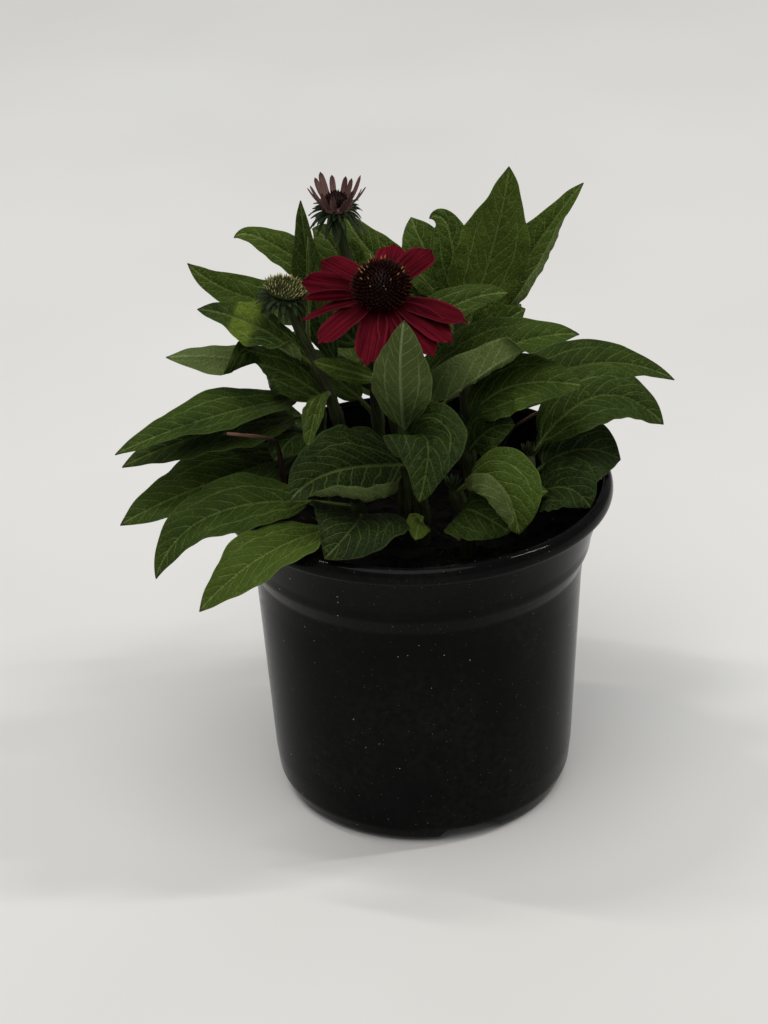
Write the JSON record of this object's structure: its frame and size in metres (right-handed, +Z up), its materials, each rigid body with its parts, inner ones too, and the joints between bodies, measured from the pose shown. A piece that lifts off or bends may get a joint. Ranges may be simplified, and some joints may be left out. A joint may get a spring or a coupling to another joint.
{
  "type": "purple coneflower plant",
  "caption": "Potted coneflower with a crimson daisy bloom round a dark spiny cone, green buds, long pointed leaves and a black nursery pot.",
  "frame": {"origin": "centre of the pot's underside, on the surface that the pot stands on", "axes": "+Z up, front of the plant towards -Y, +X to the right as seen from the front"},
  "size_m": [0.2616, 0.2274, 0.2921],
  "materials": {
    "pot": "satin",
    "soil": "matte",
    "foliage": "satin",
    "rays": "matte",
    "cone": "matte",
    "bud_rays": "matte",
    "green_cone": "matte",
    "dry_stalk": "matte"
  },
  "bodies": {
    "root": {"pot": "pot", "soil": "soil", "flower_stem": "foliage", "tall_bud_stem": "foliage", "low_bud_stem": "foliage", "back_right_shoot": "foliage", "right_shoot": "foliage", "right_low_shoot": "foliage", "left_shoot": "foliage", "front_left_shoot": "foliage", "front_shoot": "foliage", "front_right_shoot": "foliage", "back_shoot": "foliage", "bloom_rays": "rays", "bloom_cone": "cone", "tall_bud_rays": "bud_rays", "tall_bud_cone": "cone", "low_bud_cone": "green_cone", "dry_stalk_left": "dry_stalk", "dry_stalk_right": "dry_stalk"}
  },
  "joints": []
}
